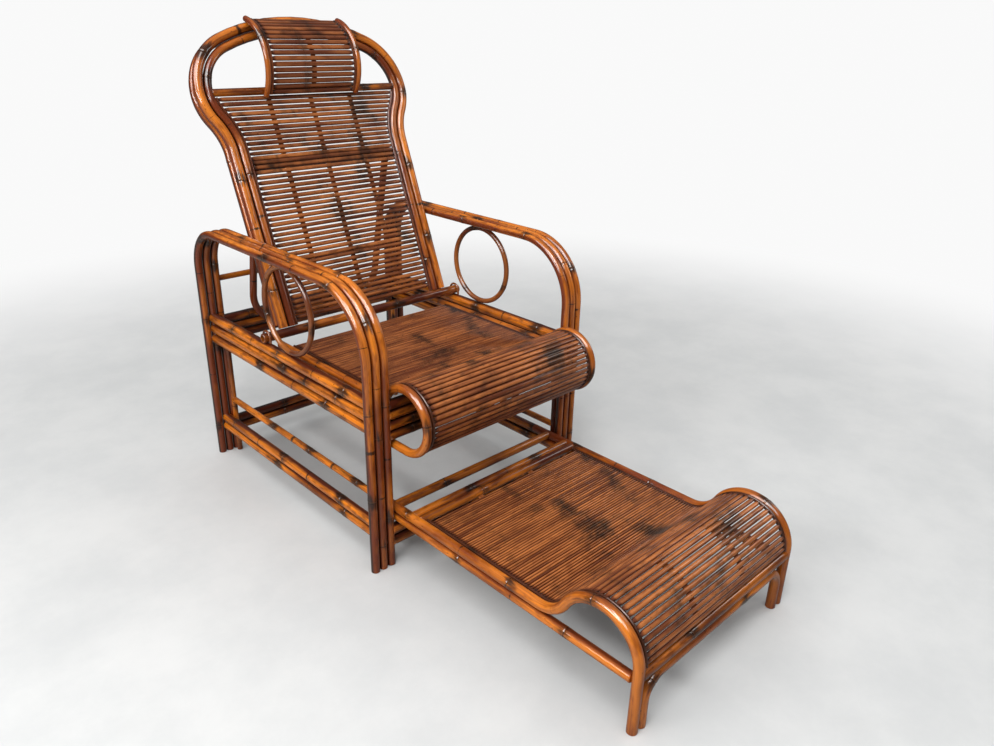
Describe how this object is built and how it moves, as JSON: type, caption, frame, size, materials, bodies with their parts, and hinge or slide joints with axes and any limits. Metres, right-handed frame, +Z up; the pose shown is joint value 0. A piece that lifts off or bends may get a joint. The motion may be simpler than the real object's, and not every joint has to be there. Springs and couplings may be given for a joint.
{
  "type": "reclining lounge chair",
  "caption": "Bent bamboo lounge chair with hooped arms, rolled slatted seat, tall reclining slatted back with headrest and rear prop, and a slatted footrest that slides in and out",
  "frame": {"origin": "on the floor under the middle of the whole chair's box, with the back upright and the footrest slid out", "axes": "+Z up, -Y the front, towards the sitter's feet, +X across the chair, to the right in a view from the front's far side along +Y"},
  "size_m": [0.6816, 1.4794, 1.1705],
  "materials": {
    "bamboo_pole": "varnished tortoiseshell bamboo pole, glossy",
    "bamboo_rail": "varnished dark bamboo rail, glossy",
    "bamboo_slat": "varnished split bamboo slat, satin gloss",
    "cane": "varnished bent cane, satin"
  },
  "bodies": {
    "frame": {"hoop_left_outer": "bamboo_pole", "hoop_left_middle": "bamboo_pole", "hoop_left_inner": "bamboo_pole", "hoop_right_outer": "bamboo_pole", "hoop_right_middle": "bamboo_pole", "hoop_right_inner": "bamboo_pole", "seat_side_pole_left": "bamboo_pole", "seat_side_pole_right": "bamboo_pole", "side_rail_left_top": "bamboo_rail", "side_rail_left_middle": "bamboo_rail", "side_rail_left_bottom": "bamboo_rail", "thin_stretcher_left": "bamboo_rail", "side_stretcher_left_upper": "bamboo_rail", "side_stretcher_left_lower": "bamboo_rail", "side_rail_right_top": "bamboo_rail", "side_rail_right_middle": "bamboo_rail", "side_rail_right_bottom": "bamboo_rail", "thin_stretcher_right": "bamboo_rail", "side_stretcher_right_upper": "bamboo_rail", "side_stretcher_right_lower": "bamboo_rail", "inner_post_front_left": "bamboo_rail", "inner_post_rear_left": "bamboo_rail", "inner_post_front_right": "bamboo_rail", "inner_post_rear_right": "bamboo_rail", "front_stretcher_upper": "bamboo_rail", "front_stretcher_lower": "bamboo_rail", "rear_stretcher_upper": "bamboo_rail", "rear_stretcher_lower": "bamboo_rail", "front_apron_pair_upper": "bamboo_rail", "front_apron_pair_lower": "bamboo_rail", "rear_apron_top": "bamboo_rail", "rear_apron_middle": "bamboo_rail", "rear_apron_bottom": "bamboo_rail", "rear_upper_rail": "bamboo_rail", "seat_rear_rail": "bamboo_rail", "arm_ring_left": "cane", "arm_ring_right": "cane", "axle_staple_left": "cane", "axle_staple_right": "cane", "seat_slats": "bamboo_slat"},
    "back": {"back_arch_outer": "bamboo_pole", "back_arch_inner": "bamboo_pole", "back_arch_rear": "bamboo_pole", "headrest_hoop_left": "bamboo_pole", "headrest_hoop_right": "bamboo_pole", "back_axle": "bamboo_rail", "back_top_rail": "bamboo_rail", "back_middle_rail": "bamboo_rail", "back_slats": "bamboo_slat", "headrest_slats": "bamboo_slat"},
    "prop": {"back_prop": "bamboo_pole"},
    "footrest": {"footrest_pole_left": "bamboo_pole", "footrest_pole_right": "bamboo_pole", "footrest_rail_left": "bamboo_pole", "footrest_rail_right": "bamboo_pole", "footrest_brace": "bamboo_pole", "footrest_cross_bar_rear": "bamboo_rail", "footrest_cross_bar_pair": "bamboo_rail", "footrest_front_bar": "bamboo_rail", "footrest_slats": "bamboo_slat"}
  },
  "joints": [
    {"name": "back_recline", "type": "hinge", "parent": "frame", "child": "back", "pos_m": [0, 0.41035, 0.4385], "axis": [-1, 0, 0], "range_deg": [0, 38]},
    {"name": "prop_swing", "type": "hinge", "parent": "back", "child": "prop", "pos_m": [0, 0.59298, 0.81756], "axis": [-1, 0, 0], "range_deg": [0, 19]},
    {"name": "footrest_slide", "type": "slide", "parent": "frame", "child": "footrest", "axis": [0, 1, 0], "range_m": [0, 0.52]}
  ],
  "couplings": [
    {"joint": "prop_swing", "follows": "back_recline", "ratio": 0.5}
  ]
}
